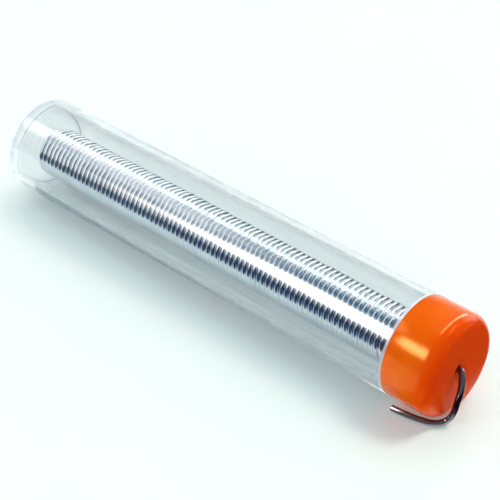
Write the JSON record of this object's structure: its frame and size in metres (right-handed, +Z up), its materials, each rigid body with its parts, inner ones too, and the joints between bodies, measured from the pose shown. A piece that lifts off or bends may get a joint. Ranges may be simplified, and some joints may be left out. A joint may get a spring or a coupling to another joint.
{
  "type": "solder wire dispenser tube",
  "caption": "Clear pocket tube with a coil of solder wire inside and a push-on cap; the wire's free end comes out of the cap's centre hole and is hooked back.",
  "frame": {"origin": "under the middle of the tube and cap, on the surface the dispenser lies on", "axes": "+X along the tube's axis towards the cap, +Z up from the surface it lies on"},
  "size_m": [0.0928, 0.017, 0.0169],
  "materials": {
    "clear_plastic": "clear, polished moulded polystyrene",
    "orange_plastic": "glossy moulded polyethylene, slightly translucent",
    "solder": "bright drawn tin-lead solder wire"
  },
  "bodies": {
    "tube": {"clear_tube": "clear_plastic"},
    "cap": {"dispensing_cap": "orange_plastic"},
    "coil": {"wire_coil": "solder"},
    "free_end": {"wire_free_end": "solder"}
  },
  "joints": [
    {"name": "cap_pull", "type": "slide", "parent": "tube", "child": "cap", "axis": [1, 0, 0], "range_m": [0, 0.012]},
    {"name": "wire_turn", "type": "hinge", "parent": "cap", "child": "coil", "pos_m": [0, 0, 0.00847], "axis": [1, 0, 0], "continuous": true},
    {"name": "wire_feed", "type": "slide", "parent": "coil", "child": "free_end", "axis": [1, 0, 0], "range_m": [0, 0.004]}
  ]
}
